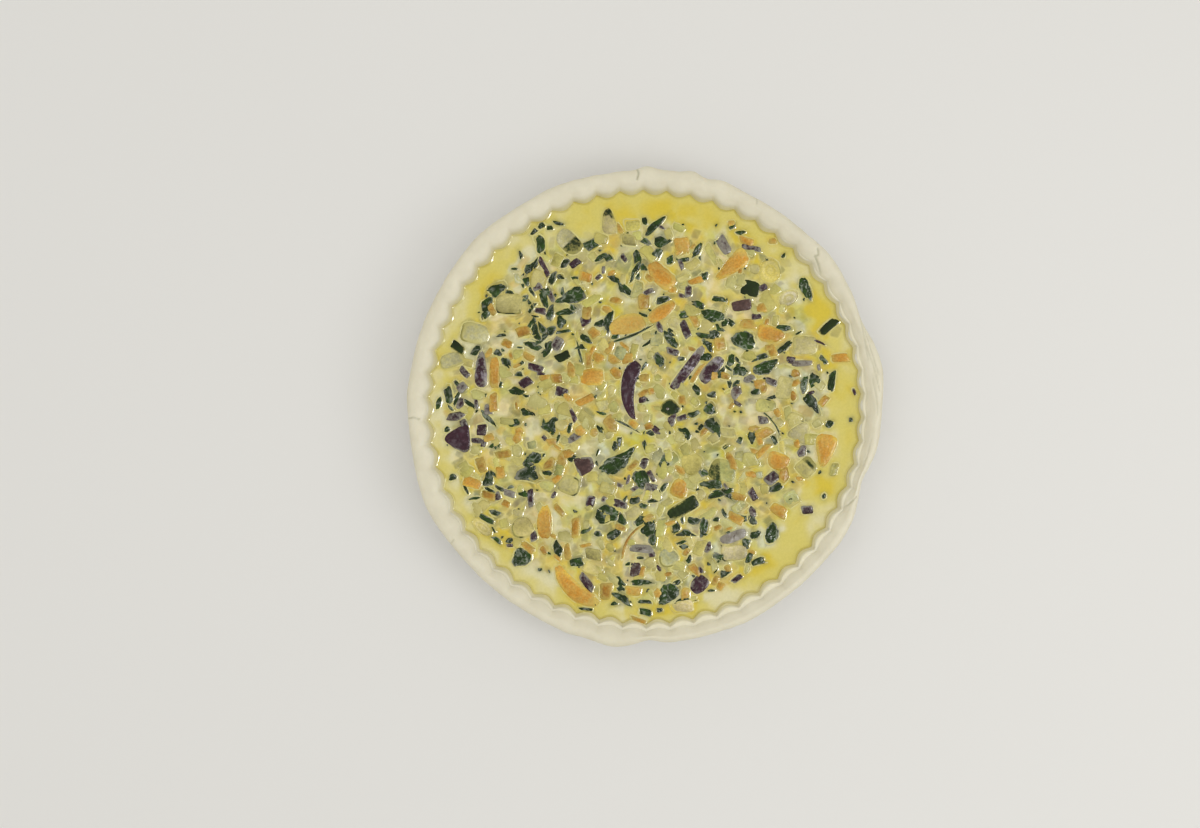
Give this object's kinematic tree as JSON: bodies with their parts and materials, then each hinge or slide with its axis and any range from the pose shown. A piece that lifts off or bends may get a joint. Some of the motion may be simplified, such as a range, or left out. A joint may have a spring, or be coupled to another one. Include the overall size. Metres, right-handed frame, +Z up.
{
  "type": "vegetable quiche in its fluted dish",
  "caption": "Round open quiche with an uneven pastry rim, set level with egg custard and chopped vegetables, in a shallow fluted baking dish.",
  "frame": {"origin": "centre of the dish's flat underside", "axes": "+Z up, +X to the right and +Y to the back as the quiche is seen from above"},
  "size_m": [0.2989, 0.3009, 0.0381],
  "materials": {
    "dish": "gloss",
    "pastry": "matte",
    "custard": "gloss",
    "carrot": "satin",
    "aubergine": "gloss",
    "courgette": "satin",
    "leaf": "gloss",
    "onion": "gloss"
  },
  "bodies": {
    "root": {"dish": "dish", "pastry_case": "pastry", "carrot_01": "carrot", "carrot_02": "carrot", "carrot_03": "carrot", "carrot_04": "carrot", "carrot_05": "carrot", "carrot_06": "carrot", "carrot_07": "carrot", "carrot_08": "carrot", "carrot_09": "carrot", "carrot_10": "carrot", "carrot_11": "carrot", "carrot_12": "carrot", "aubergine_01": "aubergine", "aubergine_02": "aubergine", "aubergine_03": "aubergine", "aubergine_04": "aubergine", "aubergine_05": "aubergine", "aubergine_06": "aubergine", "aubergine_07": "aubergine", "aubergine_08": "aubergine", "courgette_01": "courgette", "courgette_02": "courgette", "courgette_03": "courgette", "courgette_04": "courgette", "courgette_05": "courgette", "courgette_06": "courgette", "courgette_07": "courgette", "courgette_08": "courgette", "courgette_09": "courgette", "courgette_10": "courgette", "courgette_11": "courgette", "courgette_12": "courgette", "courgette_13": "courgette", "courgette_14": "courgette", "courgette_15": "courgette", "courgette_16": "courgette", "courgette_17": "courgette", "courgette_18": "courgette", "courgette_19": "courgette", "leaf_01": "leaf", "leaf_02": "leaf", "leaf_03": "leaf", "leaf_04": "leaf", "leaf_05": "leaf", "leaf_06": "leaf", "leaf_07": "leaf", "leaf_08": "leaf", "leaf_09": "leaf", "leaf_10": "leaf", "leaf_11": "leaf", "leaf_12": "leaf", "leaf_13": "leaf", "onion_01": "onion", "onion_02": "onion", "onion_03": "onion", "custard": "custard"}
  },
  "joints": []
}
